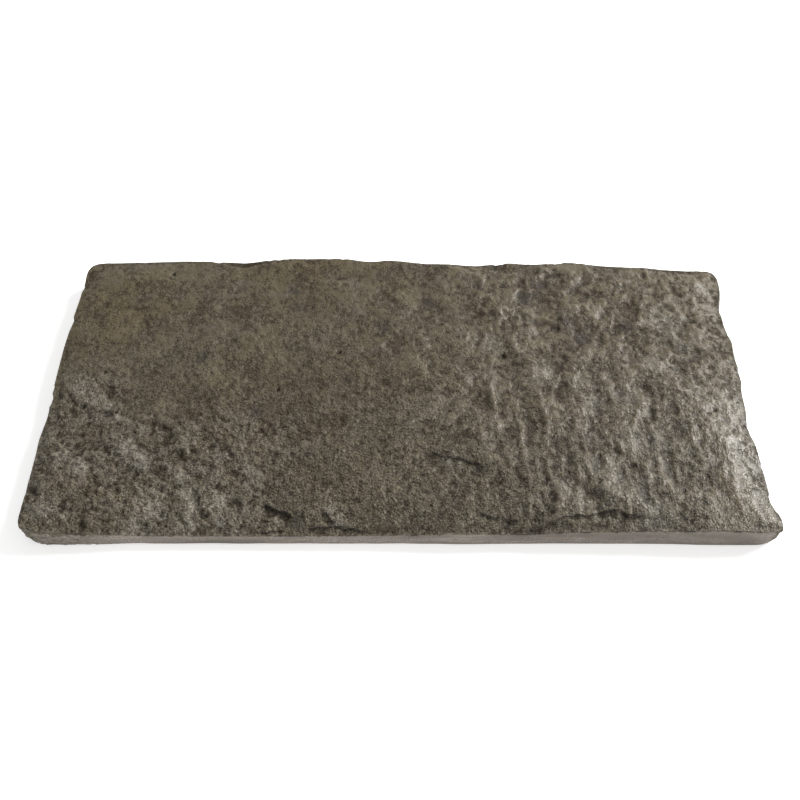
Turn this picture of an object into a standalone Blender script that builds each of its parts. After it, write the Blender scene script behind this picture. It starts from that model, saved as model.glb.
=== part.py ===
"""Riven basalt stone: one slab with a split top, a sawn front and a flat underside.

The stone is a single solid. It lies on its flat underside, centred on the origin, with its length
along X and its sawn front face towards -Y. Lengths are in metres.
"""

import math

import bpy
from mathutils import Vector, noise

# ---- driving dimensions ----
LENGTH = 0.300  # overall, along X
WIDTH = 0.150  # overall, along Y
THICKNESS = 0.0125  # from the underside to the highest point of the split face

# Each corner's radius in plan, where it meets the split face and where it meets the underside.
FRONT_LEFT_RADIUS = (0.0045, 0.0090)
FRONT_RIGHT_RADIUS = (0.0015, 0.0075)
BACK_RIGHT_RADIUS = (0.0060, 0.0055)
BACK_LEFT_RADIUS = (0.0065, 0.0060)

# How far in from each side the split face starts to fall towards its arris.
FRONT_FALL = 0.014
RIGHT_FALL = 0.024
BACK_FALL = 0.014
LEFT_FALL = 0.013

# The waves of the split face: (wavelength, height from trough to crest).
RELIEF_WAVES = ((0.074, 0.0021), (0.029, 0.0012), (0.014, 0.0007))
RELIEF_SEED = Vector((3.7, 8.2, 5.1))

# Mesh fineness.
CELLS_LONG = 64
CELLS_WIDE = 32
WALL_BANDS = 3
EDGE_GRADING = 0.32  # how much closer the cells lie at the edges than in the middle

MM = 0.001

# The stations of each side: (share of the side, how far it wanders in from the overall size in mm,
# how far its arris lies below the highest point in mm). Front and back run from left to right,
# left and right run from front to back.
FRONT_STATIONS = (
    (0.00, 0.3, 3.1),
    (0.05, 0.0, 3.0),
    (0.10, 0.4, 4.3),
    (0.16, 0.9, 5.9),
    (0.34, 1.2, 5.3),
    (0.50, 1.5, 5.3),
    (0.60, 1.4, 4.5),
    (0.67, 1.8, 5.8),
    (0.71, 1.9, 4.1),
    (0.83, 2.0, 3.3),
    (0.93, 1.6, 1.9),
    (1.00, 1.8, 2.7),
)
RIGHT_STATIONS = (
    (0.00, 0.2, 2.7),
    (0.04, 0.0, 3.0),
    (0.09, 2.3, 3.9),
    (0.19, 2.1, 4.6),
    (0.29, 2.6, 4.6),
    (0.36, 4.3, 5.2),
    (0.42, 3.2, 5.0),
    (0.50, 3.4, 4.6),
    (0.55, 2.0, 4.3),
    (0.64, 2.8, 4.7),
    (0.69, 2.1, 4.6),
    (0.76, 4.0, 5.2),
    (0.85, 4.0, 4.9),
    (0.91, 2.4, 4.0),
    (1.00, 2.6, 3.7),
)
BACK_STATIONS = (
    (0.00, 1.2, 3.0),
    (0.10, 1.0, 2.6),
    (0.16, 0.4, 2.2),
    (0.24, 1.1, 1.9),
    (0.33, 0.0, 0.8),
    (0.41, 0.1, 0.5),
    (0.45, 1.4, 1.4),
    (0.48, 0.2, 1.2),
    (0.54, 2.2, 1.7),
    (0.63, 3.0, 2.3),
    (0.66, 1.3, 2.0),
    (0.71, 2.3, 2.2),
    (0.76, 1.1, 2.0),
    (0.85, 3.2, 2.5),
    (0.94, 5.0, 3.1),
    (1.00, 4.8, 3.7),
)
LEFT_STATIONS = (
    (0.00, 0.4, 3.0),
    (0.18, 0.4, 3.4),
    (0.31, 0.0, 3.9),
    (0.38, 0.7, 4.3),
    (0.44, 0.2, 3.6),
    (0.60, 0.1, 2.9),
    (0.75, 0.9, 2.5),
    (0.85, 1.6, 2.7),
    (1.00, 1.5, 3.0),
)

# Shallow flakes that came away with the split: (centre from the middle of the stone as shares of
# half the length and half the width, radii along X and Y in mm, depth in mm).
FLAKES = (
    ((-0.29, -0.98), (118, 64), 3.0),
    ((-0.62, -0.90), (58, 36), 0.7),
    ((-0.92, -0.20), (20, 26), 1.0),
    ((-0.49, 0.99), (10, 7), 1.8),
    ((0.22, 0.98), (5, 6), 1.6),
    ((0.18, -0.86), (46, 15), 0.5),
)


def eased(share):
    """0 to 1 with a level start and end."""
    share = min(max(share, 0.0), 1.0)
    return share * share * (3.0 - 2.0 * share)


def at_station(stations, share):
    """The wander and the drop, both in metres, that far along a side."""
    for before, after in zip(stations, stations[1:]):
        if share <= after[0]:
            step = eased((share - before[0]) / (after[0] - before[0]))
            wander = before[1] + (after[1] - before[1]) * step
            drop = before[2] + (after[2] - before[2]) * step
            return wander * MM, drop * MM
    return stations[-1][1] * MM, stations[-1][2] * MM


def graded(cell, cells):
    """The share of a side at one cell line, with the lines closer together near both ends."""
    share = cell / cells
    return share - EDGE_GRADING * math.sin(2.0 * math.pi * share) / (2.0 * math.pi)


def rounded(x, y, corner_x, corner_y, radius):
    """Moves a point of the square corner at (corner_x, corner_y) into a quarter disc."""
    across = math.copysign(1.0, corner_x)
    along = math.copysign(1.0, corner_y)
    p = (x - (corner_x - across * radius)) * across / radius
    q = (y - (corner_y - along * radius)) * along / radius
    if p <= 0.0 or q <= 0.0:
        return x, y
    disc_p = p * math.sqrt(1.0 - q * q / 2.0)
    disc_q = q * math.sqrt(1.0 - p * p / 2.0)
    return corner_x + across * radius * (disc_p - 1.0), corner_y + along * radius * (disc_q - 1.0)


def plan_point(u, v, depth):
    """Where the cell lines u and v cross in plan. Depth is 0 at the split face and 1 at the underside."""
    left = -LENGTH / 2 + at_station(LEFT_STATIONS, v)[0]
    right = LENGTH / 2 - at_station(RIGHT_STATIONS, v)[0]
    front = -WIDTH / 2 + at_station(FRONT_STATIONS, u)[0]
    back = WIDTH / 2 - at_station(BACK_STATIONS, u)[0]
    x = left + (right - left) * u
    y = front + (back - front) * v
    corners = (
        (left, front, FRONT_LEFT_RADIUS),
        (right, front, FRONT_RIGHT_RADIUS),
        (right, back, BACK_RIGHT_RADIUS),
        (left, back, BACK_LEFT_RADIUS),
    )
    for corner_x, corner_y, (at_top, at_base) in corners:
        radius = at_top + (at_base - at_top) * depth
        x, y = rounded(x, y, corner_x, corner_y, radius)
    return x, y


def relief_drop(x, y):
    """How far the split face lies below its highest waves, away from the arrises."""
    drop = 0.0
    for wavelength, height in RELIEF_WAVES:
        wave = noise.noise(Vector((x, y, 0.0)) / wavelength + RELIEF_SEED)
        drop += height * (0.5 - 0.5 * wave)
    return drop


def flake_drop(x, y):
    """How deep the flakes are at one point, each a shallow bowl with a soft rim."""
    drop = 0.0
    for (share_x, share_y), (radius_x, radius_y), depth in FLAKES:
        across = (x - share_x * LENGTH / 2) / (radius_x * MM)
        along = (y - share_y * WIDTH / 2) / (radius_y * MM)
        drop += depth * MM * eased(1.0 - math.hypot(across, along))
    return drop


def arris_drop(u, v):
    """The fall towards the nearest arrises: (its depth, its share from 0 inside to 1 at an arris)."""
    sides = (
        (FRONT_STATIONS, u, v * WIDTH, FRONT_FALL),
        (RIGHT_STATIONS, v, (1.0 - u) * LENGTH, RIGHT_FALL),
        (BACK_STATIONS, u, (1.0 - v) * WIDTH, BACK_FALL),
        (LEFT_STATIONS, v, u * LENGTH, LEFT_FALL),
    )
    weights, depth, inside = 0.0, 0.0, 1.0
    for stations, share, distance, reach in sides:
        weight = eased(1.0 - distance / reach) ** 2
        weights += weight
        depth += weight * at_station(stations, share)[1]
        inside *= 1.0 - weight
    return (depth / weights if weights else 0.0), 1.0 - inside


def top_drop(u, v):
    """How far the split face lies below the plane of its highest point, before levelling."""
    x, y = plan_point(u, v, 0.0)
    depth, share = arris_drop(u, v)
    relief = relief_drop(x, y)
    return relief * (1.0 - 0.7 * share) + depth * share + flake_drop(x, y) * (1.0 - 0.5 * share)


def rim_cells():
    """The grid crossings around the edge, anticlockwise from the front left."""
    front = [(i, 0) for i in range(CELLS_LONG)]
    right = [(CELLS_LONG, j) for j in range(CELLS_WIDE)]
    back = [(i, CELLS_WIDE) for i in range(CELLS_LONG, 0, -1)]
    left = [(0, j) for j in range(CELLS_WIDE, 0, -1)]
    return front + right + back + left


def slab_mesh():
    """The closed mesh: the split face's grid, bands of wall below its rim, and one flat underside."""
    us = [graded(i, CELLS_LONG) for i in range(CELLS_LONG + 1)]
    vs = [graded(j, CELLS_WIDE) for j in range(CELLS_WIDE + 1)]
    drops = {(i, j): top_drop(u, v) for i, u in enumerate(us) for j, v in enumerate(vs)}
    highest = min(drops.values())
    points, faces, top = [], [], {}
    for (i, j), drop in drops.items():
        top[i, j] = len(points)
        points.append((*plan_point(us[i], vs[j], 0.0), THICKNESS - (drop - highest)))
    for i in range(CELLS_LONG):
        for j in range(CELLS_WIDE):
            faces.append((top[i, j], top[i + 1, j], top[i + 1, j + 1], top[i, j + 1]))
    rim = rim_cells()
    upper = [top[cell] for cell in rim]
    arris = [points[n][2] for n in upper]
    for band in range(1, WALL_BANDS + 1):
        depth = band / WALL_BANDS
        lower = range(len(points), len(points) + len(rim))
        for (i, j), height in zip(rim, arris):
            points.append((*plan_point(us[i], vs[j], depth), height * (1.0 - depth)))
        for n in range(len(rim)):
            following = (n + 1) % len(rim)
            faces.append((upper[following], upper[n], lower[n], lower[following]))
        upper = lower
    faces.append(tuple(reversed(upper)))
    return fitted(points), faces


def fitted(points):
    """The points with the plan stretched to exactly the overall length and width, about its middle."""
    fits = []
    for axis, overall in ((0, LENGTH), (1, WIDTH)):
        low = min(point[axis] for point in points)
        high = max(point[axis] for point in points)
        fits.append(((low + high) / 2, overall / (high - low)))
    (mid_x, scale_x), (mid_y, scale_y) = fits
    return [((x - mid_x) * scale_x, (y - mid_y) * scale_y, z) for x, y, z in points]


def basalt():
    """Dark olive-brown stone with a dull surface."""
    material = bpy.data.materials.new("basalt")
    material.use_nodes = True
    shader = material.node_tree.nodes["Principled BSDF"]
    shader.inputs["Base Color"].default_value = (0.109, 0.095, 0.069, 1.0)
    shader.inputs["Roughness"].default_value = 0.62
    shader.inputs["Metallic"].default_value = 0.0
    return material


def make_stone():
    points, faces = slab_mesh()
    mesh = bpy.data.meshes.new("basalt_slab")
    mesh.from_pydata(points, [], faces)
    mesh.validate()
    mesh.shade_smooth()
    mesh.set_sharp_from_angle(angle=math.radians(40))
    mesh.materials.append(basalt())
    stone = bpy.data.objects.new("basalt_slab", mesh)
    bpy.context.scene.collection.objects.link(stone)
    return stone


for existing in list(bpy.data.objects):
    bpy.data.objects.remove(existing, do_unlink=True)
make_stone()
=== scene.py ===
# %% [markdown]
# # A split basalt stone
#
# This lesson finishes one flat stone. It was split from a block along its grain, so its top is riven:
# low swells, flutes, a few ledges and cracks, and a dense salt-and-pepper grain. The front was sawn, so
# it is a smoother, paler strip. The underside is flat, because the stone lies on it to be warmed.
#
# The solid model fixes the stone's size and outline. We load it as a frame, read its rim and its
# heights back from its mesh, and lay a much finer skin over it. Lengths are in metres, except where
# millimetres are named.

# %% Load the frame
import math

import bmesh
import bpy
import numpy as np
from mathutils import Matrix, Vector
from mathutils.bvhtree import BVHTree
from mathutils.geometry import delaunay_2d_cdt


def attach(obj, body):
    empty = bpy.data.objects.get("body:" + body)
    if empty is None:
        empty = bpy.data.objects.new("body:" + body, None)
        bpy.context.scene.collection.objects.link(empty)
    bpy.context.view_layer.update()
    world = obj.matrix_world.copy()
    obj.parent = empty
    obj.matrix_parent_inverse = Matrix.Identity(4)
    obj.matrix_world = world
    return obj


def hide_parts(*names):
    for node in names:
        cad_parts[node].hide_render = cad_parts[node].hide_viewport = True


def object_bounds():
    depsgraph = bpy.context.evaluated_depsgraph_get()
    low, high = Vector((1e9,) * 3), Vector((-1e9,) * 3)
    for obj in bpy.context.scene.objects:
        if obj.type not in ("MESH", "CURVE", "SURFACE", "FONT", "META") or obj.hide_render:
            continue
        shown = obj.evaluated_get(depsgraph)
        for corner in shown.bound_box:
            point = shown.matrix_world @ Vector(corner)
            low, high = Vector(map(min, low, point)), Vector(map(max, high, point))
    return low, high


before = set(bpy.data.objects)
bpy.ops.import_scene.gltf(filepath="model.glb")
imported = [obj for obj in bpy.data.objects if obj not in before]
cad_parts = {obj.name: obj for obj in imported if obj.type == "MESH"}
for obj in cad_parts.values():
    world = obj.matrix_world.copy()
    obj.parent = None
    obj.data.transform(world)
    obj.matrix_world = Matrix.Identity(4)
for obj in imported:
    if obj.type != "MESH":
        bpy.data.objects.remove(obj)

MM = 0.001
cad_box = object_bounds()
(low, high) = cad_box
print("the solid measures", [round(v / MM, 1) for v in high - low], "mm")

# %% [markdown]
# ## Reading the solid
#
# The solid has three kinds of face: the split top, the walls and the flat underside. We could copy the
# outline's numbers here, but then a change to the solid would leave the skin behind. It is safer to
# find the two loops of edges where the wall meets the top and where it meets the underside.

# %% Find the rim and the foot of the walls
TOP_TILT = 0.4  # a face whose normal rises more than this belongs to the split top

solid = bmesh.new()
solid.from_mesh(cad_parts["basalt_slab"].data)
bmesh.ops.remove_doubles(solid, verts=solid.verts, dist=MM / 1000)
solid.normal_update()


def face_kind(face):
    if face.normal.z > TOP_TILT:
        return "top"
    lies_flat = max(vert.co.z for vert in face.verts) < low.z + 0.01 * MM
    return "underside" if lies_flat else "wall"


def loop_between(kind, other):
    """The corners of the closed loop where two kinds of face meet, anticlockwise from above."""
    follows = {}
    for edge in solid.edges:
        if {face_kind(face) for face in edge.link_faces} == {kind, other}:
            for vert in edge.verts:
                follows.setdefault(vert, []).append(edge.other_vert(vert))
    start = vert = min(follows, key=lambda v: v.co.x + v.co.y)
    previous, walk = None, []
    while True:
        walk.append(vert.co.copy())
        ahead = [v for v in follows[vert] if v is not previous]
        previous, vert = vert, ahead[0]
        if vert is start:
            break
    corners = np.array(walk)
    x, y = corners[:, 0], corners[:, 1]
    turning = (x * np.roll(y, -1) - y * np.roll(x, -1)).sum()
    return corners if turning > 0 else np.roll(corners[::-1], 1, axis=0)


rim_corners = loop_between("top", "wall")
foot_corners = loop_between("underside", "wall")
print("the rim has", len(rim_corners), "corners and the foot", len(foot_corners))

# %% [markdown]
# ## Four sides
#
# A grid needs four sides, so each loop is cut at its four corners. Each side is then read again at many
# small steps, with a slight rounding so that the solid's flats don't show in the skin.

# %% Read a side
READINGS = 600  # along each side
ROUNDING = 1.6  # in millimetres


def blurred(values, steps, axis=0):
    """A row of values smoothed over that many steps, with its ends kept where they are."""
    reach = int(3 * steps) + 1
    weights = np.exp(-0.5 * (np.arange(-reach, reach + 1) / steps) ** 2)
    weights /= weights.sum()
    values = np.moveaxis(values, axis, 0)
    start = 2 * values[:1] - values[reach:0:-1]
    end = 2 * values[-1:] - values[-2:-reach - 2:-1]
    padded = np.concatenate([start, values, end])
    smooth = sum(w * padded[k:k + len(values)] for k, w in enumerate(weights))
    return np.moveaxis(smooth, 0, axis)


def read_side(corners, shares):
    """A side's points at the given shares of its length, smoothed a little."""
    steps = np.linalg.norm(np.diff(corners[:, :2], axis=0), axis=1)
    along = np.concatenate([[0], np.cumsum(steps)]) / steps.sum()
    even = np.linspace(0, 1, READINGS)
    line = np.stack([np.interp(even, along, corners[:, k]) for k in range(3)], axis=1)
    line = blurred(line, ROUNDING / (steps.sum() / MM / READINGS))
    return np.stack([np.interp(shares, even, line[:, k]) for k in range(3)], axis=1)


print("each side is read", READINGS, "times and smoothed over", ROUNDING, "mm")

# %% Cut a loop into four sides
LONG_CELLS = 424  # cells along the length
WIDE_CELLS = 204  # cells across the width
FRONT_CROWDING = 0.18  # the cells are this much finer at the front, which is seen from closest


def four_sides(corners, long_shares, wide_shares):
    """Front and back from left to right, and left and right from front to back."""
    x, y = corners[:, 0], corners[:, 1]
    cuts = [np.argmin(x + y), np.argmax(x - y), np.argmax(x + y), np.argmin(x - y)]
    runs = []
    for start, end in zip(cuts, cuts[1:] + cuts[:1]):
        run = np.roll(corners, -start, axis=0)
        runs.append(run[: (end - start) % len(corners) + 1])
    front, right, back, left = runs
    return (
        read_side(front, long_shares),
        read_side(back[::-1], long_shares),
        read_side(left[::-1], wide_shares),
        read_side(right, wide_shares),
    )


def crowded(cells, crowding):
    """Shares from 0 to 1, with finer steps at the start."""
    even = np.linspace(0, 1, cells + 1)
    return even - crowding * even * (1 - even)


long_shares = np.linspace(0, 1, LONG_CELLS + 1)
wide_shares = crowded(WIDE_CELLS, FRONT_CROWDING)
rim_sides = four_sides(rim_corners, long_shares, wide_shares)
foot_sides = four_sides(foot_corners, long_shares, wide_shares)
print("the front arris stands", (rim_sides[0][::53, 2] / MM).round(1), "mm above the underside")

# %% [markdown]
# ## Noise to carve with
#
# Stone breaks by chance, but the script has to break it the same way each time. Blender's own noise
# gives one value at a time, which is slow for a whole face, so the noise is written here for whole
# arrays. In gradient noise each crossing of a lattice gets a direction from a hash of its place, and
# the value between crossings is blended from them.


# %% Gradient noise
def hashed(i, j, seed):
    """A repeatable number from 0 to 1 for each lattice place."""
    mixed = (i.astype(np.int64) * 374761393 + j.astype(np.int64) * 668265263 + seed * 974634777) & 0xFFFFFFFF
    mixed = ((mixed ^ (mixed >> 13)) * 1274126177) & 0xFFFFFFFF
    mixed = ((mixed ^ (mixed >> 16)) * 2246822519) & 0xFFFFFFFF
    return ((mixed ^ (mixed >> 15)) & 0xFFFFFF) / float(0xFFFFFF)


def swell(x, y, seed):
    """Gradient noise from about -1 to 1, one swell for each unit."""
    i, j = np.floor(x), np.floor(y)
    fx, fy = x - i, y - j
    blend_x = fx * fx * fx * (fx * (fx * 6 - 15) + 10)
    blend_y = fy * fy * fy * (fy * (fy * 6 - 15) + 10)
    corners = []
    for dj in (0, 1):
        for di in (0, 1):
            turn = 2 * math.pi * hashed(i + di, j + dj, seed)
            corners.append(np.cos(turn) * (fx - di) + np.sin(turn) * (fy - dj))
    near = corners[0] + blend_x * (corners[1] - corners[0])
    far = corners[2] + blend_x * (corners[3] - corners[2])
    return 1.5 * (near + blend_y * (far - near))


def swells(x, y, size, octaves, seed, keep=0.5):
    """Several sizes of swell in one, each half the size and keep times the height of the last."""
    total = np.zeros_like(x)
    for octave in range(octaves):
        total += keep ** octave * swell(x / size * 2 ** octave, y / size * 2 ** octave, seed + 17 * octave)
    return total


sample = np.linspace(0, 90, 9000)
sample_heights = swells(sample, 0.3 * sample, 1.0, 3, 1)
print("three octaves of swells go from", sample_heights.min().round(2), "to", sample_heights.max().round(2))

# %% [markdown]
# Cell noise gives each lattice cell a seed point instead. The distance to the nearest seed makes
# scoops, like the bowls that a split leaves, and a tilt for each cell makes broken chips.


# %% Cell noise
def cells(x, y, size, seed):
    """Cell noise: (distance to the nearest seed, way to it across and along, the cell's own number)."""
    x, y = x / size, y / size
    i, j = np.floor(x), np.floor(y)
    nearest = np.full_like(x, 9.0)
    across, along, number = np.zeros_like(x), np.zeros_like(x), np.zeros_like(x)
    for dj in (-1, 0, 1):
        for di in (-1, 0, 1):
            way_x = x - i - di - hashed(i + di, j + dj, seed)
            way_y = y - j - dj - hashed(i + di, j + dj, seed + 1)
            distance = np.hypot(way_x, way_y)
            closer = distance < nearest
            nearest = np.where(closer, distance, nearest)
            across, along = np.where(closer, way_x, across), np.where(closer, way_y, along)
            number = np.where(closer, hashed(i + di, j + dj, seed + 2), number)
    return nearest, across, along, number


def scoops(x, y, size, seed):
    """Shallow bowls with sharp ridges between them, from 0 at a bowl's bottom to about 1 on a ridge."""
    return np.minimum(1.6 * cells(x, y, size, seed)[0] ** 2, 1.2)


def facets(x, y, size, seed):
    """Flat chips, each tilted its own way, from about -1 to 1."""
    nearest, across, along, number = cells(x, y, size, seed)
    turn = 2 * math.pi * 7 * number
    return np.cos(turn) * across + np.sin(turn) * along + 0.8 * (number - 0.5)


sample_scoops = scoops(sample, 0.3 * sample, 1.0, 1)
print("scoops go from", sample_scoops.min().round(2), "to", sample_scoops.max().round(2))

# %% [markdown]
# ## Nibbled arrises
#
# A split always frays where the riven face runs out at an edge. The bites could be pushed into the
# finished skin, but then its faces would fold over. They are taken out of the rim before the grid is
# laid, so that the grid follows them.

# %% Nibble the rim
BITE_SIZE = 13 * MM
BITE_DEPTH = 0.8 * MM


def between(start, end, values):
    """0 at start, 1 at end and a soft step between them, whichever is the larger."""
    share = np.clip((values - start) / (end - start), 0, 1)
    return share * share * (3 - 2 * share)


def nibbled(side, inward, seed, share=1.0):
    """A side of the rim with bites taken inward and small dips."""
    along = side[:, 0] if abs(inward[1]) else side[:, 1]
    ends = np.minimum(np.arange(len(side)), np.arange(len(side))[::-1])
    fade = between(0, 9, ends)
    zero = np.zeros_like(along)
    bites = between(0.15, 1.1, swells(along, zero, BITE_SIZE, 3, seed, keep=0.6))
    fray = swells(along, zero, 2.6 * MM, 2, seed + 3)
    moved = side.copy()
    moved[:, :2] += np.outer((bites * BITE_DEPTH + fray * 0.10 * MM) * share * fade, inward)
    moved[:, 2] -= (0.45 * bites * BITE_DEPTH - 0.16 * MM * fray) * fade
    return moved


front, back, left, right = rim_sides
front = nibbled(front, (0, 1), 11, share=0.35)
back = nibbled(back, (0, -1), 12, share=1.2)
left = nibbled(left, (1, 0), 13)
right = nibbled(right, (-1, 0), 14)
deepest_bite = (rim_sides[1][:, 1] - back[:, 1]).max() / MM
print("the deepest bite in the back arris is", round(deepest_bite, 2), "mm")

# %% [markdown]
# ## The grid over the split face
#
# A Coons patch fills the four sides: each grid point is blended from the points opposite it on the
# front and back and on the left and right, less what the corners would count twice. Its heights then
# come from the solid, by a ray straight down at each point.

# %% Lay the grid
u = long_shares[:, None, None]
v = wide_shares[None, :, None]
across = (1 - v) * front[:, None] + v * back[:, None]
along = (1 - u) * left[None] + u * right[None]
corners = (1 - u) * ((1 - v) * front[0] + v * back[0]) + u * ((1 - v) * front[-1] + v * back[-1])
patch = across + along - corners

solid_tree = BVHTree.FromBMesh(solid)


def solid_height(x, y, otherwise):
    hit = solid_tree.ray_cast(Vector((x, y, high.z + 1)), Vector((0, 0, -1)))[0]
    return hit.z if hit else otherwise


X, Y = patch[..., 0], patch[..., 1]
solid_Z = np.array([[solid_height(*point) for point in row] for row in patch.tolist()])
pitch = (high.x - low.x) / LONG_CELLS
print("the split face has", X.size, "points, about", round(pitch / MM, 2), "mm apart")

# %% [markdown]
# The solid's top is made of small flats, which would show as facets. Blurring its heights over a few
# cells melts them together. Near the rim the patch's own height takes over, so that the skin still
# meets its nibbled arris.

# %% Melt the flats together
MELT = 3.0  # cells
RIM_BAND = 4 * MM  # how far in from the rim the patch's own height fades out

from_ends = np.minimum(u, 1 - u)[..., 0] * (high.x - low.x)
from_front_or_back = np.minimum(v, 1 - v)[..., 0] * (high.y - low.y)
inside = between(0, RIM_BAND, np.minimum(from_ends, from_front_or_back))
Z = blurred(blurred(solid_Z, MELT, axis=0), MELT, axis=1)
Z = inside * Z + (1 - inside) * patch[..., 2]
melted = np.abs(Z - solid_Z)[inside == 1].max() / MM
print("away from the rim, melting moved the heights by up to", round(melted, 2), "mm")

# %% [markdown]
# ## Swells, flutes and torn layers
#
# The split isn't the same all over. To the right it ran with the grain and left flutes from front to
# back. At the front left it tore through several thin layers. Elsewhere it is a quiet, grained face.
# Each kind of relief gets its own mask: a share from 0 to 1 at each point. A slow noise bends the
# masks' edges, so that one kind wanders into the next without a straight border.

# %% Masks for the kinds of face
mm_x, mm_y = X / MM, Y / MM
wander = swells(X, Y, 38 * MM, 3, 21)
fluted = between(18, 62, mm_x + 22 * wander) * between(16, -30, mm_y + 14 * wander)
fluted = fluted * (0.25 + 0.75 * between(-70, -60, mm_y + 5 * wander))  # they run out before the front arris
lumpy = between(-30, 75, mm_x + 25 * wander)
torn = between(-4, -34, mm_y + 0.26 * (mm_x + 75) + 13 * wander) * between(-22, -66, mm_x + 20 * wander)
worn = between(114, 132, mm_x + 9 * wander) * between(16, -22, mm_y + 12 * wander)  # rubbed smooth
coarse = between(60, -70, mm_y + 10 * wander)  # the grain gets coarser towards the front
sheen = 1 - between(85, 125, mm_x) * between(-12, 30, mm_y + 8 * wander)  # the back right corner stays dull
print("fluted, lumpy, torn, worn shares:", [round(float(m.mean()), 2) for m in (fluted, lumpy, torn, worn)])

# %% [markdown]
# Noise alone looks like clouds, not stone. Bending the places that it is read at gives it the crooked
# lines of a break. Flutes are the same scoops as on the lumpy side, only stretched from front to back
# by reading them at a third of their y, and they lean a little.

# %% Swells, scoops and flutes
BEND = 2.6 * MM

bend_x = X + BEND * swells(X, Y, 12 * MM, 3, 31, keep=0.6)
bend_y = Y + BEND * swells(X, Y, 12 * MM, 3, 32, keep=0.6)
broad = (0.50 + 0.25 * lumpy) * MM * swells(bend_x, bend_y, 18 * MM, 3, 33, keep=0.55)
scooped = 0.85 * MM * scoops(bend_x, 0.8 * bend_y, 12 * MM, 36)
scooped += 0.42 * MM * scoops(bend_x, bend_y, 5.0 * MM, 37)
lean = X + 0.35 * (bend_x - X) + 0.10 * Y + 2.5 * MM * swells(X, Y, 30 * MM, 2, 38)
flutes = 1.45 * MM * scoops(lean, 0.30 * bend_y, 10 * MM, 34)
flutes += 0.85 * MM * scoops(lean, 0.32 * bend_y, 4.4 * MM, 39)
print("the flutes are up to", round(float((flutes * fluted).max()) / MM, 1), "mm deep")

# %% [markdown]
# Where the split tore, it left thin layers like a stack of torn paper. Rounding a smooth height down to
# whole layers makes the stack. Creases and tilted chips then break it up, and a few of the chips are
# remembered as fresh, because they will be paler.


# %% Torn layers and chips
def layered(height, thickness, riser=0.30):
    """Smooth heights broken into layers of one thickness, with short risers between them."""
    level = height / thickness
    base = np.floor(level)
    return thickness * (base + between(1 - riser, 1, level - base))


tear = 0.66 * MM * swells(bend_x + 0.9 * bend_y, 0.6 * bend_y, 12 * MM, 4, 35, keep=0.55)
tear = 0.8 * layered(tear, 0.24 * MM, riser=0.22) + 0.2 * tear
creases = between(0.16, 0.0, np.abs(swells(bend_x + 0.9 * bend_y, 0.8 * bend_y, 7 * MM, 2, 48)))
tear -= 0.30 * MM * creases
chip_x, chip_y = X + 0.5 * (bend_x - X), Y + 0.5 * (bend_y - Y)
chip_place = (chip_x + 0.5 * chip_y, 0.8 * chip_y, 4.6 * MM, 44)
crumb_place = (X, Y, 2.1 * MM, 47)
tear += 0.28 * MM * facets(*chip_place) + 0.26 * MM * facets(*crumb_place)
fresh = np.maximum(between(0.66, 0.84, cells(*chip_place)[3]), between(0.74, 0.86, cells(*crumb_place)[3]))
fresh = torn * fresh
print("fresh chips cover", round(100 * float((fresh > 0.5).mean()), 1), "% of the face")

# %% Add the broad relief up
relief = broad + scooped * (0.25 + 0.95 * lumpy) * (1 - 0.75 * fluted) + flutes * fluted + tear * torn
relief = relief * (1 - 0.35 * worn)
print("broad relief from", round(relief.min() / MM, 2), "to", round(relief.max() / MM, 2), "mm")

# %% [markdown]
# ## Grain and pits
#
# Close up the whole face is grained: bumps of 3 mm and less with hollows between them. This is the
# finest relief that the mesh carries. What is finer goes into the material's bump.

# %% Carve the grain
grain = 0.19 * MM * swells(X, 0.85 * Y, 3.0 * MM, 2, 41, keep=0.75)
pits = between(0.25, 0.95, swells(X, 0.8 * Y, 3.6 * MM, 2, 42, keep=0.8))
grain -= 0.24 * MM * pits
relief = relief + grain * (0.60 + 0.50 * coarse + 0.35 * torn + 0.35 * lumpy - 0.40 * worn)
print("pits cover", round(100 * float((pits > 0.5).mean()), 1), "% of the face")

# %% [markdown]
# ## Ledges and cracks
#
# Here and there the split jumped from one layer to the next. That leaves a short ledge: a thin slit,
# darkened in the material with painted shade, with the stone a little lower on its front side. Each is
# a line of a few points in millimetres from the middle of the stone, the width and strength of its
# slit, and how far its front side drops.

# %% Cut the ledges
LEDGES = (
    # points, slit width, slit strength, drop of the side towards the front, reach of the drop
    (((9, -36), (15, -38), (21, -39.6), (28, -42), (36.5, -45)), 0.4, 0.45, 0.7, 9),
    (((27, -49), (31.5, -51.4), (36, -54)), 0.35, 0.3, 0.3, 5),
    (((-55, -60.5), (-49, -62.4), (-43, -65.6), (-40.5, -68)), 0.45, 0.45, 1.0, 8),
    (((-31.5, -63), (-28.5, -65.5), (-25, -68.7)), 0.4, 0.4, 0.7, 5),
    (((-56, -72.9), (-50, -72.2), (-44, -72)), 0.4, 0.45, 0.5, 2),
    (((-38, -71), (-27, -70.4), (-19, -71.2), (-8, -73)), 0.4, 0.45, 0.5, 2),
    (((30, -63), (35.5, -67), (44, -68), (51, -70)), 0.4, 0.35, 0.4, 4),
    (((57, -69), (62, -68.4), (70, -67), (79, -66), (85, -65), (92, -66.8), (103, -68.6)), 0.4, 0.35, 0.7, 4),
    (((44, -68), (41.6, -72)), 0.4, 0.4, 0.0, 4),
    (((114.8, -57.5), (118.7, -60.3)), 0.35, 0.5, 0.2, 4),
    (((120.4, -57), (121.5, -62.6)), 0.35, 0.5, 0.2, 4),
    (((-144, -3), (-138, -10), (-129, -14.5), (-117, -17)), 0.5, 0.0, 0.7, 9),
    (((-61, 77), (-66, 72.5), (-75, 70), (-83, 72.5), (-89, 77)), 0.5, 0.2, 0.7, 5),
    (((44, 76), (43.8, 68)), 1.0, 1.6, 0.0, 4),
)


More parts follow.
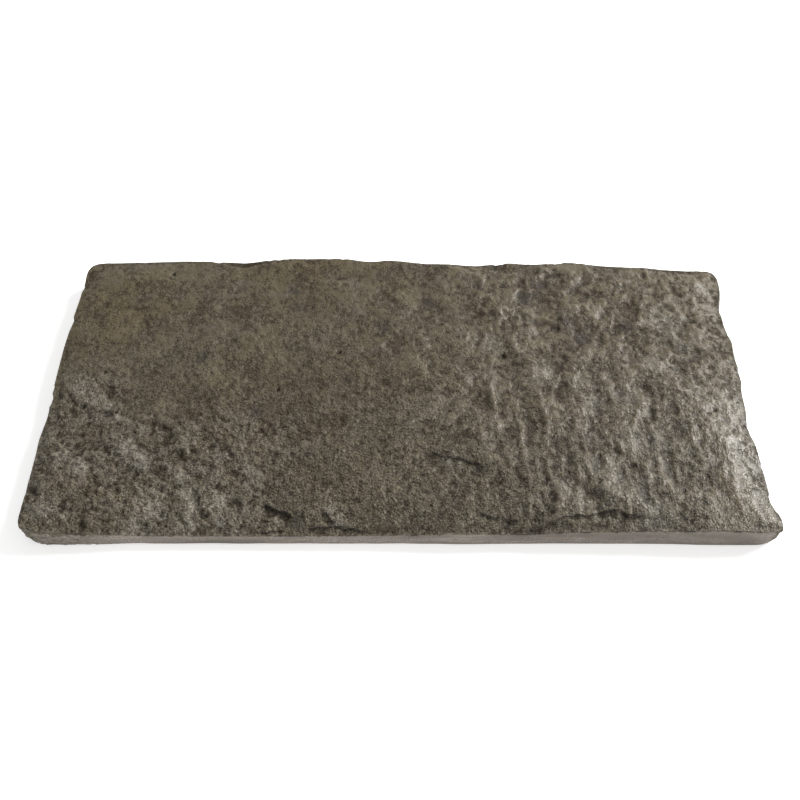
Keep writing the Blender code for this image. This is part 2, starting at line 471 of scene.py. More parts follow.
def from_line(x, y, points):
    """Distance to a line of points, its signed side (positive towards the back) and a fade at its ends."""
    best = np.full_like(x, 9.0)
    side = np.zeros_like(x)
    fade = np.zeros_like(x)
    lengths = [math.dist(a, b) * MM for a, b in zip(points, points[1:])]
    walked = 0.0
    for run, start, end in zip(lengths, points, points[1:]):
        (ax, ay), (bx, by) = np.array(start) * MM, np.array(end) * MM
        share = ((x - ax) * (bx - ax) + (y - ay) * (by - ay)) / run ** 2
        held = np.clip(share, 0, 1)
        distance = np.hypot(x - ax - held * (bx - ax), y - ay - held * (by - ay))
        closer = distance < best
        best = np.where(closer, distance, best)
        side = np.where(closer, ((bx - ax) * (y - ay) - (by - ay) * (x - ax)) / run, side)
        along = (walked + held * run) / sum(lengths)
        fade = np.where(closer, np.clip(6 * along * (1 - along), 0, 1) ** 0.6, fade)
        walked += run
    return best, side, fade


crack = np.zeros_like(X)
ragged_x = X + 0.7 * MM * swells(X, Y, 5.5 * MM, 3, 51, keep=0.6)
ragged_y = Y + 0.7 * MM * swells(X, Y, 5.5 * MM, 3, 52, keep=0.6)
for line, width, strength, drop, reach in LEDGES:
    distance, side, fade = from_line(ragged_x, ragged_y, line)
    slit = np.exp(-(distance / (1.5 * width * MM)) ** 2) * fade
    lowered = between(0.15 * MM, -0.55 * MM, side) * np.exp(-(distance / (reach * MM)) ** 2) * fade
    relief = relief - 0.35 * strength * MM * slit - drop * MM * lowered
    broken = between(-0.5, 0.3, swells(X, Y, 3 * MM, 2, 53))
    # the crack fact; the material paints shade into the slit
    crack = np.maximum(crack, slit * min(1.0, 2.6 * strength) * (0.80 + 0.20 * broken))
print(len(LEDGES), "ledges and cracks cut")

# %% [markdown]
# ## Marks
#
# A stone has spots of its own: dark clots of mineral, a few pinholes where gas was trapped, darkened
# with painted shade, pale bruises where crystals were crushed, smooth pale patches whose paleness is
# partly pale mineral and partly painted sheen, and broad patches that are painted darker and more
# mottled. Noise would put them anywhere, so each kind is a short list of places in millimetres from
# the middle of the stone, each with its radius.

# %% Place the marks
CLOTS = (
    (-61.5, -17, 4.0), (-87, 13, 3.5), (-46, 45, 3.5), (-50, 55, 4.0), (74, 34, 3.5), (80, 26, 4.0),
    (101, 32, 4.5), (-40, -68.5, 3.5), (-22, 2, 3.0), (-8, 33, 4.5), (12, 46, 4.0), (36, 58, 3.5),
    (124, 20, 3.5), (-37, -38, 2.5), (57, 50, 5.0), (64, 58, 4.0),
)
PINHOLES = (
    (-106.8, 65.8, 0.8), (-26.8, 17.5, 0.7), (-52.4, -4.2, 0.7), (45, 15, 0.7), (53.4, -62.6, 0.8),
    (133, -14, 0.7),
)
BRUISES = (
    (-138, -4, 5.0), (-131, -9, 5.0), (-124, -13, 3.0), (-84, -56, 4.0), (-82.5, -63, 4.2),
    (-82, -70, 3.8), (-8, 21, 1.2), (-73, -40, 2.8), (-113, -36, 5.5), (-105, -42, 5.0),
    (-97, -65, 5.0), (-104, -71, 4.0), (-88, -49, 3.0), (-138, -40, 4.5), (-130, -45, 4.5),
    (-140, -66, 4.5), (-72, -60, 3.5), (-70, -68, 3.0), (-27, -64, 2.8), (-23, -68, 2.6),
    (20, -42, 1.8), (24, -43.5, 1.6), (-119, -20, 3.0), (-107, -27, 3.0),
)
# smooth pale patches: lower roughness, and a pale tint that is partly painted sheen
PALE_SHEEN_PATCHES = (
    (109, 10, 6.0), (97, -8, 6.5), (98, -31, 5.5), (105, -32, 6.5), (85, -50, 9.0), (65, -54, 4.5),
    (71, -62, 4.0), (120, 34, 9.0), (82, -12, 7.0), (100, -66, 8.0), (62, 4, 6.0), (40, 22, 6.0),
    (80, -30, 5.0), (101, -50, 4.5), (96, -58, 4.0), (138, -33, 7.0), (142, -42, 10.0),
    (143, -56, 8.0), (144, -67, 5.0), (138, 57, 4.0),
)
# broad patches that the material makes darker and more mottled
DARKER_PATCHES = (
    (-36, -13, 27), (-116, -24, 19), (-100, -40, 10), (-84, -14, 14), (60, 56, 17), (62, 68, 10),
    (74, 34, 9), (80, 26, 8), (101, 40, 9), (60, -38, 10), (24, 34, 11), (14, 60, 10), (-48, 50, 13),
    (-8, 16, 12), (38, -58, 11), (20, -44, 12), (-134, -27, 10), (98, 66, 8),
)


def spots(places):
    """Ragged spots from 0 to 1 at those places."""
    spotted = np.zeros_like(X)
    for place_x, place_y, radius in places:
        ragged = 1 + 0.7 * swells(X, Y, 2.2 * MM, 2, 71 + int(abs(place_x)))
        distance = np.hypot(mm_x - place_x, 0.8 * (mm_y - place_y)) / radius
        spotted = np.maximum(spotted, between(1.1, 0.35, distance * ragged))
    return spotted


clotted, pinholed, pale_sheen, darker_patches = (spots(places) for places in (CLOTS, PINHOLES, PALE_SHEEN_PATCHES, DARKER_PATCHES))
bruised = np.maximum(spots(BRUISES), 0.42 * fresh)
relief = relief - 0.12 * MM * clotted - 0.7 * MM * pinholed + 0.10 * MM * bruised
# the pinholes join the crack fact, so the material paints shade into them
crack = np.maximum(crack, 0.95 * pinholed)
print(len(CLOTS), "clots,", len(PINHOLES), "pinholes and", len(BRUISES), "bruises")

# %% [markdown]
# ## The relief on the stone
#
# The relief is added to the melted heights, a third as strong at the rim, so that the arrises stay
# where the solid has them. The material will want to know which places are hollow, because it paints
# shade into them. Ambient occlusion could tell it, but it would be worked out again, slowly, for every
# picture. It is enough to blur the heights once: a point is hollow when it lies below its own blurred
# height.

# %% Join the relief to the grid
AT_RIM = 0.35  # the share of the relief that is left at the rim
LOWEST, HIGHEST = low.z + 2.5 * MM, high.z + 3.0 * MM  # no hollow or crest goes past these

skin_Z = np.clip(Z + relief * (AT_RIM + (1 - AT_RIM) * inside), LOWEST, HIGHEST)
print("the skin's top lies from", round(skin_Z.min() / MM, 1), "to", round(skin_Z.max() / MM, 1), "mm up")


# %% Find the hollows
def hollowness(steps):
    """How far each point lies below the ground around it, blurred over that many cells, in mm."""
    return (blurred(blurred(skin_Z, steps, axis=0), steps, axis=1) - skin_Z) / MM


# the material darkens these hollows and dips: painted shade
hollow = hollowness(2.4)  # pits and the feet of small ledges
dip = hollowness(8.0)  # the bottoms of scoops
print("the deepest pit and dip are", hollow.max().round(2), "and", dip.max().round(2), "mm")

# %% [markdown]
# ## Walls
#
# The front was sawn: flat, with faint level saw lines, rougher at its left end, and with short slits
# under its arris where flakes are lifting. The other three walls were broken to size, so they are
# rougher and bulge in and out a little. First each point round the foot gets its outward direction,
# its distance travelled round the stone, and its shares of sawn face and of slit.

# %% Round the foot
ARRIS_SLITS = (  # from and to along the front, in mm
    (-49, -36), (-21, -16), (4, 8), (45, 52), (61, 64), (70, 75), (110, 115), (129, 133),
)


def ring_of(front_line, back_line, left_line, right_line):
    """Four sides as one closed ring, anticlockwise from the front left."""
    return np.concatenate([front_line[:-1], right_line[:-1], back_line[:0:-1], left_line[:0:-1]])


top_points = np.stack([X, Y, skin_Z], axis=-1)
rim_ring = ring_of(top_points[:, 0], top_points[:, -1], top_points[0], top_points[-1])
foot_ring = ring_of(*foot_sides)
tangent = np.roll(foot_ring, -3, axis=0) - np.roll(foot_ring, 3, axis=0)
outward = np.stack([tangent[:, 1], -tangent[:, 0]], axis=1)
outward /= np.linalg.norm(outward, axis=1)[:, None]
travel = np.concatenate([[0], np.cumsum(np.linalg.norm(np.diff(foot_ring[:, :2], axis=0), axis=1))])
sawn = between(-0.80, -0.97, outward[:, 1])
foot_mm_x = foot_ring[:, 0] / MM
sawn = sawn * (0.50 + 0.50 * between(-128, -92, foot_mm_x))
slit_run = np.zeros(len(foot_ring))
for start, end in ARRIS_SLITS:
    run = between(start - 1, start + 1, foot_mm_x) * between(end + 1, end - 1, foot_mm_x)
    slit_run = np.maximum(slit_run, run)
slit_run = slit_run * sawn
print("the foot is", round(travel[-1] / MM), "mm round,", round(100 * float(sawn.mean())), "% of it sawn")

# %% [markdown]
# Rings of points then run down from the rim to the foot, closest together near those two edges, where
# the light catches. Each ring is pushed in and out by chips and lumps on the broken walls, and by
# faint saw lines on the sawn one. The foot itself is drawn in a little, as a worn edge is.

# %% Rings of wall
RING_SHARES = (0.05, 0.13, 0.25, 0.40, 0.56, 0.73, 0.88, 0.965)
SLIT_LEVEL, SLIT_HEIGHT = 0.10, 0.08  # shares of the wall's height, down from the rim
SLIT_DEPTH = 0.6 * MM
FOOT_WEAR = 0.22 * MM

rings, wall_crack, wall_hollow = [rim_ring], [], []
for share in RING_SHARES:
    ring = rim_ring + (foot_ring - rim_ring) * share
    level = np.maximum(ring[:, 2], 0.0)
    rough = 0.50 * MM * swells(travel, level * 1.6, 7 * MM, 3, 61, keep=0.65)
    rough += 0.45 * MM * facets(travel, level * 1.2, 4.5 * MM, 62)
    rough += 0.25 * MM * facets(travel, level, 2.4 * MM, 63)
    saw = 0.07 * MM * swells(travel * 0.08, level, 1.6 * MM, 2, 64)
    saw += 0.10 * MM * swells(travel, level, 16 * MM, 2, 65)
    under_arris = slit_run * math.exp(-((share - SLIT_LEVEL) / SLIT_HEIGHT) ** 2)
    # the slits under the arris join the crack fact: painted shade
    wall_crack.append(under_arris)
    # the dips of the broken walls feed the hollow fact, so the material paints shade into them
    wall_hollow.append(-0.6 * rough * (1 - sawn) / MM)
    push = (rough * (1 - sawn) + saw * sawn) * min(1.0, share * 6) - SLIT_DEPTH * under_arris
    ring[:, :2] += outward * push[:, None]
    rings.append(ring)
foot = foot_ring.copy()
foot[:, :2] -= outward * FOOT_WEAR
foot[:, 2] = low.z
rings.append(foot)
print(len(rings) - 1, "bands of wall,", len(foot), "points round")

# %% [markdown]
# ## The underside
#
# The underside is flat, so it needs few points. One face with over a thousand corners would do, but
# such a face is cut up into long slivers when it is exported. A triangulation that joins the fine foot
# ring to a coarse grid inside it gives better faces.

# %% Fill the underside
UNDERSIDE_PITCH = 7 * MM
FROM_ENDS, FROM_SIDES = 6 * MM, 7 * MM  # how far the coarse grid stays away from the box
ONLY_INSIDE = 1  # keeps the triangles inside the border

count = len(foot)
xs = np.arange(low.x + FROM_ENDS, high.x - FROM_ENDS, UNDERSIDE_PITCH)
ys = np.arange(low.y + FROM_SIDES, high.y - FROM_SIDES, UNDERSIDE_PITCH)
flat_points = [Vector(p) for p in foot[:, :2].tolist()] + [Vector((x, y)) for x in xs for y in ys]
border = [(n, (n + 1) % count) for n in range(count)]
flat = delaunay_2d_cdt(flat_points, border, [list(range(count))], ONLY_INSIDE, 1e-9)
under_points, under_faces = flat[0], flat[2]
print("the underside has", len(under_faces), "faces")

# %% [markdown]
# ## One closed mesh
#
# The grid, the rings and the underside share their edge points, so the stone is one closed skin with no
# seam to hide. Every point has a number, and a face is a list of the numbers at its corners. Edges
# sharper than the creases of ordinary relief are kept sharp, so the foot reads as a cut.

# %% Number the points and make the faces
SHARP = math.radians(62)

index = np.arange(X.size).reshape(X.shape)
rim_index = ring_of(index[:, 0], index[:, -1], index[0], index[-1])
points = [top_points.reshape(-1, 3)]
offset = X.size
ring_index = [rim_index]
for ring in rings[1:]:
    ring_index.append(np.arange(offset, offset + count))
    points.append(ring)
    offset += count
points.append(np.array([(p.x, p.y, low.z) for p in under_points[count:]]))
points = np.concatenate(points)

quads = [np.stack([index[:-1, :-1], index[1:, :-1], index[1:, 1:], index[:-1, 1:]], axis=-1).reshape(-1, 4)]
for upper, lower in zip(ring_index, ring_index[1:]):
    quads.append(np.stack([lower, np.roll(lower, -1), np.roll(upper, -1), upper], axis=-1))
quads = np.concatenate(quads)
foot_numbers = ring_index[-1].tolist() + list(range(offset, offset + len(under_points) - count))
under = [[foot_numbers[n] for n in reversed(face)] for face in under_faces]
skin = bpy.data.meshes.new("riven_stone")
skin.from_pydata(points.tolist(), [], quads.tolist() + under)
skin.validate()
stone = bpy.data.objects.new("riven_stone", skin)
bpy.context.scene.collection.objects.link(stone)
skin.shade_smooth()
skin.set_sharp_from_angle(angle=SHARP)
triangles = sum(len(face.vertices) - 2 for face in skin.polygons)
print("the skin has", len(skin.vertices), "points and", triangles, "triangles")

# %% [markdown]
# ## Facts for the material
#
# The material has to know what the carving knows: where the face is torn, hollow, sawn or cracked. A
# mesh can carry such facts as attributes, one number for each point, and the material reads them by
# name. They follow the shape exactly and need no picture.


# %% Keep the facts on the points
def keep_fact(name, on_top, on_wall, below):
    """Stores a number for each point: the top's values, each ring's values, and one for the underside."""
    values = np.full(len(points), below, dtype=np.float32)
    values[: X.size] = on_top.reshape(-1)
    for ring_numbers, ring_values in zip(ring_index[1:], on_wall):
        values[ring_numbers] = ring_values
    skin.attributes.new(name, "FLOAT", "POINT").data.foreach_set("value", values)


bands = len(rings) - 1
none_here = np.zeros(count)
below_arris = [min(1, 0.25 + 0.3 * k) for k in range(bands)]  # the sawn colour comes in over a few bands
keep_fact("sawn", np.zeros_like(X), [sawn * share for share in below_arris], 1.0)
keep_fact("hollow", hollow, wall_hollow + [none_here], 0.0)
keep_fact("crack", crack, wall_crack + [none_here], 0.0)
keep_fact("coarse", coarse, [none_here + 0.5] * bands, 0.5)
only_on_top = {
    "dip": dip, "lumpy": lumpy, "fluted": fluted, "torn": torn, "worn": worn, "sheen": sheen,
    "clotted": clotted, "bruised": bruised, "pale_sheen": pale_sheen, "darker_patches": darker_patches,
}
for name, values in only_on_top.items():
    keep_fact(name, values, [none_here] * bands, 0.0)
print("each point carries", 4 + len(only_on_top), "facts")

# %% [markdown]
# ## A map for the colours
#
# When the stone is exported, its colours are painted onto a square map. The split face is what people
# look at, so it gets the upper half of the map at full width. The walls get thin strips and the plain
# underside what is left.

# %% Unwrap the stone
STRIP = 0.048  # a wall's strip on the map, with the gap under it
MARGIN = 0.008


def laid_flat(polygon, corner):
    """Where a face's corner goes on the map, from its place on the stone."""
    x = (corner.x - low.x) / (high.x - low.x)
    y = (corner.y - low.y) / (high.y - low.y)
    z = corner.z / (high.z - low.z)
    if polygon.index < top_faces:
        return MARGIN + x * (1 - 2 * MARGIN), 0.5 + MARGIN + y * (0.5 - 2 * MARGIN)
    if polygon.index >= wall_faces:
        return MARGIN + x * 0.62, MARGIN + y * 0.31
    normal = polygon.normal
    if abs(normal.y) >= abs(normal.x):
        row = 0.5 - STRIP if normal.y < 0 else 0.5 - 2 * STRIP
        return MARGIN + x * (1 - 2 * MARGIN), row + z * (STRIP - MARGIN)
    start = MARGIN if normal.x < 0 else 0.5 + MARGIN
    return start + y * (0.5 - 3 * MARGIN), 0.5 - 3 * STRIP + z * (STRIP - MARGIN)


top_faces = LONG_CELLS * WIDE_CELLS
wall_faces = top_faces + bands * count
layer = skin.uv_layers.new(name="OFBake")
places = np.zeros((len(skin.loops), 2), dtype=np.float32)
for polygon in skin.polygons:
    for loop in polygon.loop_indices:
        places[loop] = laid_flat(polygon, skin.vertices[skin.loops[loop].vertex_index].co)
layer.data.foreach_set("uv", places.ravel())
print("the map has places for", len(places), "corners, up to", round(float(places.max()), 3))

# %% [markdown]
# ## A way to write materials
#
# A material is a tree of nodes, and a tree drawn in code is hard to read. It is easier to read as sums.
# A Wire holds one socket, and adding or multiplying wires adds Math nodes. Any other node comes from
# `node`, which takes its type, its settings and then its sockets.

# %% Wires and nodes
class Wire:
    """One output socket of a material, with arithmetic that adds Math nodes."""

    def __init__(self, tree, socket=None):
        self.tree = tree
        self.socket = socket

    def node(self, kind, settings=None, sockets=None, output=0):
        """Adds a node, sets it up, fills its sockets with values or wires, and returns an output."""
        made = self.tree.nodes.new(kind)
        for name, value in (settings or {}).items():
            setattr(made, name, value)
        for name, value in (sockets or {}).items():
            if isinstance(value, Wire):
                self.tree.links.new(value.socket, made.inputs[name])
            else:
                made.inputs[name].default_value = value
        return Wire(self.tree, made.outputs[output])

    def maths(self, operation, first, second=0.0):
        return self.node("ShaderNodeMath", {"operation": operation}, {0: first, 1: second})

    def __add__(self, other):
        return self.maths("ADD", self, other)

    def __sub__(self, other):
        return self.maths("SUBTRACT", self, other)

    def __rsub__(self, other):
        return self.maths("SUBTRACT", other, self)

    def __mul__(self, other):
        return self.maths("MULTIPLY", self, other)

    def __abs__(self):
        return self.maths("ABSOLUTE", self)

    __radd__ = __add__
    __rmul__ = __mul__


print("wires can be added, taken away, multiplied and made absolute")

# %% [markdown]
# ## Small helpers for stone
#
# Nearly all of the stone's look comes from four things: a fact from the mesh, a cloud of noise of a
# given size in millimetres, a share cut out of it by two limits, and one colour tinted with another by
# that share. Object coordinates keep the clouds fixed to the stone, wherever it is looked at from.

# %% Start the stone's material
riven_basalt = bpy.data.materials.new("riven_basalt")
riven_basalt.use_nodes = True
tree = riven_basalt.node_tree
shader = tree.nodes["Principled BSDF"]
stone_wires = Wire(tree)
place = stone_wires.node("ShaderNodeTexCoord", output="Object")


def fact(name):
    """One of the facts kept on the skin's points."""
    return stone_wires.node("ShaderNodeAttribute", {"attribute_name": name}, output="Fac")


def cloud(size, detail=2.0, roughness=0.5, stretch=(1, 1, 1), shift=0.0):
    """Soft noise from 0 to 1 whose lumps are that many millimetres across."""
    moved = stone_wires.node(
        "ShaderNodeMapping", sockets={"Vector": place, "Location": (shift, 0.7 * shift, 0), "Scale": stretch}
    )
    sockets = {"Vector": moved, "Scale": 1000 / size, "Detail": detail, "Roughness": roughness}
    return stone_wires.node("ShaderNodeTexNoise", sockets=sockets, output="Fac")


def share_above(value, start, end):
    """0 at start, 1 at end and a straight rise between them, whichever is the larger."""
    sockets = {"Value": value, "From Min": start, "From Max": end}
    return stone_wires.node("ShaderNodeMapRange", {"clamp": True}, sockets)


def tinted(share, under, over):
    """A colour or wire with another laid over it by a share."""
    under, over = (c if isinstance(c, Wire) else (*c, 1.0) for c in (under, over))
    sockets = {"Factor": share, "A": under, "B": over}
    return stone_wires.node("ShaderNodeMix", {"data_type": "RGBA"}, sockets, output="Result")


print("four helpers: fact, cloud, share_above and tinted")

# %% [markdown]
# ## The stone's colour
#
# Basalt is nearly black inside. Split and weathered it turns olive brown, speckled with darker
# minerals, and greyer where it tore. We mix it in layers: a ground colour that drifts over a few
# centimetres, dark mottles of 2 to 3 mm, a fine grain, then painted highlights on the crests and
# painted shade in the hollows.

# %% The ground colour
OLIVE = (0.076, 0.060, 0.028)
GREY_GREEN = (0.077, 0.065, 0.037)
WARM = (0.085, 0.061, 0.028)
TORN_GREY = (0.110, 0.091, 0.065)
PLUM = (0.080, 0.062, 0.046)
SANDY = (0.115, 0.094, 0.058)

lumpy_fact, torn_fact, worn_fact, coarse_fact = fact("lumpy"), fact("torn"), fact("worn"), fact("coarse")
hollow_fact, dip_fact, crack_fact, fluted_fact = fact("hollow"), fact("dip"), fact("crack"), fact("fluted")
drift = share_above(cloud(48, 3), 0.42, 0.60)
warmth = share_above(cloud(26, 3, shift=0.3), 0.50, 0.66)
ground = tinted(drift, OLIVE, GREY_GREEN)
ground = tinted(warmth * 0.6, ground, WARM)
ground = tinted(share_above(cloud(12, 2, shift=1.7), 0.54, 0.66) * 0.6, ground, PLUM)
ground = tinted(lumpy_fact * 0.55, ground, SANDY)
ground = tinted(torn_fact * share_above(cloud(9, 3, 0.6, shift=0.7), 0.40, 0.62) * 0.9, ground, TORN_GREY)
print("the ground colour takes", len(tree.nodes), "nodes")

# %% [markdown]
# Over the ground come dark mottles of 2 to 3 mm. They crowd together in some places and leave others
# bare, so a second, larger cloud is added to theirs before the limits cut it. A grit of dark and pale
# grains of 0.9 mm lies over them, stronger towards the front, and a few hairlines of pale mineral.

# %% Mottles and grit
UMBER = (0.021, 0.011, 0.002)
DARK = (0.011, 0.007, 0.002)
PALE = (0.150, 0.126, 0.088)

crowding = cloud(13, 3, 0.6, (1, 0.9, 1), 0.83) - 0.5
darker_patch_fact = fact("darker_patches")
mottle_noise = cloud(2.3, 3, 0.72, (1, 0.85, 1), 0.11) + 0.75 * crowding
mottle_noise = mottle_noise - 0.09 * worn_fact + 0.05 * darker_patch_fact
mottles = share_above(mottle_noise, 0.515, 0.590)
grit_noise = cloud(0.9, 2, 0.7, shift=0.21)
grit = share_above(grit_noise, 0.40, 0.60)
hairlines = share_above(abs(cloud(5.5, 3, 0.6, shift=0.55) - 0.5), 0.020, 0.0)
mottle_share = 0.68 + 0.13 * coarse_fact + 0.14 * lumpy_fact - 0.20 * torn_fact
riven = tinted(mottles * mottle_share, ground, UMBER)
riven = tinted(0.20 + 0.42 * coarse_fact - 0.08 * worn_fact, riven, tinted(grit, DARK, PALE))
riven = tinted(hairlines * 0.24, riven, PALE)
print("mottles and grit bring it to", len(tree.nodes), "nodes")

# %% [markdown]
# The hollow and dip facts paint shade into the hollows and the bottoms of scoops, and a painted
# highlight onto the crests.
# Then the marks from the lists above are tinted in: clots and bruises with the colour of their mineral,
# the darker patches with umber, and the smooth pale patches with a tint that is partly pale mineral and
# partly painted sheen.

# %% Hollows, crests and marks
CLOT = (0.026, 0.021, 0.016)
CRYSTAL = (0.285, 0.260, 0.218)
PALE_SHEEN_TINT = (0.200, 0.182, 0.148)

# painted shade: the hollows are darkened
riven = tinted(share_above(hollow_fact, 0.0, 0.30) * 0.60, riven, DARK)
crest = share_above(hollow_fact, -0.03, -0.30)
# painted highlight: the crests are paled, more so on the flutes
riven = tinted(crest * (0.28 + 0.26 * fluted_fact), riven, PALE)
# painted shade at the bottoms of scoops
riven = tinted(share_above(dip_fact, 0.05, 0.65) * (0.42 - 0.12 * torn_fact), riven, UMBER)
# the darker patches are tinted towards umber
riven = tinted(darker_patch_fact * 0.21, riven, UMBER)
riven = tinted(fact("clotted") * 0.55, riven, CLOT)
riven = tinted(fact("bruised") * (0.22 + 0.40 * grit) * (1 - 0.3 * mottles), riven, CRYSTAL)
pale_sheen_fact = fact("pale_sheen")
# partly painted sheen: the smooth patches get a pale, neutral tint
riven = tinted(pale_sheen_fact * (0.27 + 0.24 * grit) * (1 - 0.5 * mottles), riven, PALE_SHEEN_TINT)
print("the riven face takes", len(tree.nodes), "nodes")

# %% [markdown]
# The saw left a paler, greyer face: stone dust with level streaks, short dark dashes and a few sandy
# veins. Its right part is stained darker. At last the two faces are joined along a ragged edge, and
# the open cracks are painted dark over both, as painted shade inside them.

# %% The sawn face's colour
SAWN_GREY = (0.320, 0.287, 0.247)
SAWN_DARK = (0.150, 0.131, 0.109)
SAWN_VEIN = (0.400, 0.360, 0.275)
streaks = share_above(cloud(4, 3, 0.6, (0.10, 1, 1), 0.9), 0.35, 0.70)
veins = share_above(cloud(16, 3, 0.6, (1, 1, 1.6), 1.3), 0.60, 0.70)
sawn_colour = tinted(streaks, SAWN_GREY, SAWN_DARK)
sawn_colour = tinted(veins * 0.5, sawn_colour, SAWN_VEIN)
sawn_colour = tinted(share_above(cloud(0.7, 2, 0.7, shift=3.1), 0.42, 0.60) * 0.75, sawn_colour, SAWN_DARK)
dashes = share_above(cloud(1.5, 2, 0.6, (0.22, 1, 1), 2.4), 0.52, 0.64)
sawn_colour = tinted(dashes * 0.55, sawn_colour, SAWN_DARK)
place_x = stone_wires.node("ShaderNodeSeparateXYZ", sockets={0: place}, output="X")
stained = share_above(place_x + 0.06 * (cloud(22, 3, shift=2.1) - 0.5), 0.025, 0.085)
sawn_colour = tinted(stained * (0.25 + 0.45 * streaks), sawn_colour, SAWN_DARK)
print("with the sawn face there are", len(tree.nodes), "nodes")

# %% Join the two faces
ragged = (cloud(2.2, 2, shift=0.6) - 0.5) * 0.7
sawn_share = share_above(fact("sawn") + ragged, 0.32, 0.55)
colour = tinted(sawn_share, riven, sawn_colour)
# painted shade: the open cracks, slits and pinholes are darkened
split_open = share_above(crack_fact + 0.5 * (grit_noise - 0.5), 0.46, 0.64)
colour = tinted(split_open * 0.85, colour, DARK)
tree.links.new(colour.socket, shader.inputs["Base Color"])
print("the colour is linked, from", len(tree.nodes), "nodes")

# %% [markdown]
# ## Gloss and grain
#
# A split face has a satin sheen on its crests and none in its pits, so the roughness follows the
# grain. The bump holds what is too fine for the mesh: grit of a millimetre and crumbs of up to two,
# which are combed from front to back where the face is fluted.

# %% Roughness
SAWN_ROUGH = 0.64
riven_rough = 0.56 + 0.24 * mottles + 0.14 * share_above(hollow_fact, -0.05, 0.25) - 0.06 * grit
riven_rough = riven_rough - 0.14 * lumpy_fact * fact("sheen") - 0.09 * pale_sheen_fact
riven_rough = riven_rough - 0.09 * crest * fluted_fact - 0.01 * worn_fact
sockets = {"Factor": sawn_share, "A": riven_rough, "B": SAWN_ROUGH}
rough = stone_wires.node("ShaderNodeMix", {"data_type": "FLOAT"}, sockets, output="Result")
tree.links.new(rough.socket, shader.inputs["Roughness"])
shader.inputs["Specular IOR Level"].default_value = 0.30
print("the roughness is linked, and the sawn face has", SAWN_ROUGH)

# %% Bump
BUMP_DEPTH = 0.55 * MM
crumb_noise = cloud(1.6, 2, 0.65, shift=0.33)
combed_noise = cloud(1.9, 2, 0.6, (1, 0.3, 1), 0.39)
fine_height = 0.60 * grit_noise - 0.5 * mottles + 0.15 * hairlines
fine_height = fine_height + crumb_noise * (1 - 0.6 * fluted_fact) + 0.9 * combed_noise * fluted_fact
strength = 0.66 + 1.04 * coarse_fact + 0.25 * torn_fact - 0.10 * fluted_fact - 0.55 * worn_fact
height = fine_height * strength * (1 - 0.50 * sawn_share)
sockets = {"Height": height, "Strength": 1.0, "Distance": BUMP_DEPTH}
bump = stone_wires.node("ShaderNodeBump", sockets=sockets, output="Normal")
tree.links.new(bump.socket, shader.inputs["Normal"])
skin.materials.append(riven_basalt)
print("the material has", len(tree.nodes), "nodes")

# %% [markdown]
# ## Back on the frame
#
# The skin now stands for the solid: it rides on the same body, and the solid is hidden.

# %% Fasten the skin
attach(stone, "root")
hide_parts("basalt_slab")
print(stone.name, "rides on root in place of basalt_slab")

# %% [markdown]
# ## The floor
#
# A plain pale floor lets the relief speak. It glows a little, like a white sheet in a bright room, so
# that it stays white and the stone's shadow on it stays faint. It lies a hair below the underside, so
# that the two flat faces don't fight for the same place.

# %% Floor
REACH = 6.0
HAIR = 0.2 * MM
SHEET = {
    "Base Color": (0.93, 0.93, 0.925, 1),
    "Roughness": 0.9,
    "Specular IOR Level": 0.0,
    "Emission Color": (1, 1, 1, 1),
    "Emission Strength": 0.50,
}

floor_mesh = bpy.data.meshes.new("floor")
floor_corners = [(x * REACH, y * REACH, 0) for x, y in ((-1, -1), (1, -1), (1, 1), (-1, 1))]
floor_mesh.from_pydata(floor_corners, [], [(0, 1, 2, 3)])
floor = bpy.data.objects.new("floor", floor_mesh)
floor.location.z = low.z - HAIR
bpy.context.scene.collection.objects.link(floor)
paper = bpy.data.materials.new("pale_floor")
paper.use_nodes = True
for name, value in SHEET.items():
    paper.node_tree.nodes["Principled BSDF"].inputs[name].default_value = value
floor_mesh.materials.append(paper)
print("the floor reaches", REACH, "m each way")

# %% [markdown]
# ## The sky
#
# A pale sky fills the shadows from all sides. It is white at the horizon, where it has to meet the
# floor without a line, and half as bright overhead, because an even sky would wash the relief out.

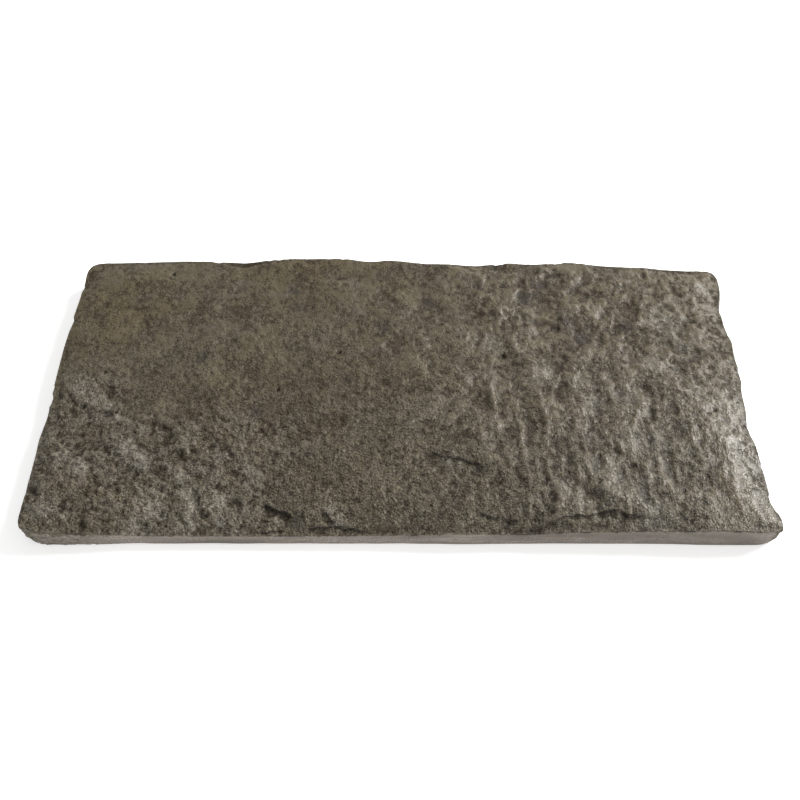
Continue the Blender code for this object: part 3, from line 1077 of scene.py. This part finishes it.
# %% Sky
OVERHEAD = 0.48
HORIZON = 1.0
sky = bpy.data.worlds.new("sky")
sky.use_nodes = True
sky_wires = Wire(sky.node_tree)
direction = sky_wires.node("ShaderNodeTexCoord", output="Generated")
height = sky_wires.node("ShaderNodeSeparateXYZ", sockets={0: direction}, output="Z")
sockets = {"Value": height, "From Min": 0.05, "From Max": 0.45, "To Min": HORIZON, "To Max": OVERHEAD}
glow = sky_wires.node("ShaderNodeMapRange", {"clamp": True}, sockets)
sky.node_tree.nodes["Background"].inputs["Color"].default_value = (1, 1, 1, 1)
sky.node_tree.links.new(glow.socket, sky.node_tree.nodes["Background"].inputs["Strength"])
bpy.context.scene.world = sky
print("the sky goes from", HORIZON, "at the horizon to", OVERHEAD, "overhead")

# %% [markdown]
# ## The key light
#
# The strongest light is a large soft one, low on the right and a little behind, like a window. From
# there it rakes over the flutes and makes a sheen on the rubbed stone at the right edge.


# %% Key light
def soft_light(name, turn_from_right, height, away, size, power):
    """A round soft light: degrees from the right towards the back, degrees above the floor, and metres."""
    azimuth, elevation = math.radians(turn_from_right), math.radians(height)
    level = away * math.cos(elevation)
    lamp = bpy.data.lights.new(name, "AREA")
    lamp.shape = "DISK"
    lamp.size = size
    lamp.energy = power
    holder = bpy.data.objects.new(name, lamp)
    holder.location = (level * math.cos(azimuth), level * math.sin(azimuth), away * math.sin(elevation))
    holder.rotation_euler = (-holder.location).to_track_quat("-Z", "Y").to_euler()
    bpy.context.scene.collection.objects.link(holder)
    print(name, "stands at", [round(c, 2) for c in holder.location])


soft_light("right_window", 31, 31, 3.0, 1.5, 175)

# %% [markdown]
# ## The camera
#
# The camera looks down on the stone from the front, a little right of its middle, from close enough
# that the back looks clearly shorter than the front. Its place is in metres, its lens in millimetres.

# %% Camera
LENS = 48.68
EYE = Vector((0.00533, -0.29661, 0.37053))
PITCH, YAW, ROLL = math.radians(51.364), math.radians(1.061), math.radians(-0.571)
camera = bpy.data.objects.new("camera", bpy.data.cameras.new("camera"))
camera.data.lens = LENS
camera.data.sensor_width = 36
camera.data.clip_start = 0.01
turn = Matrix.Rotation(YAW, 4, "Z") @ Matrix.Rotation(math.pi / 2 - PITCH, 4, "X")
camera.matrix_world = Matrix.Translation(EYE) @ turn @ Matrix.Rotation(ROLL, 4, "Z")
bpy.context.scene.collection.objects.link(camera)
bpy.context.scene.camera = camera
bpy.context.scene.view_settings.view_transform = "Standard"
print("the camera is", round(EYE.length, 2), "m from the stone's middle")
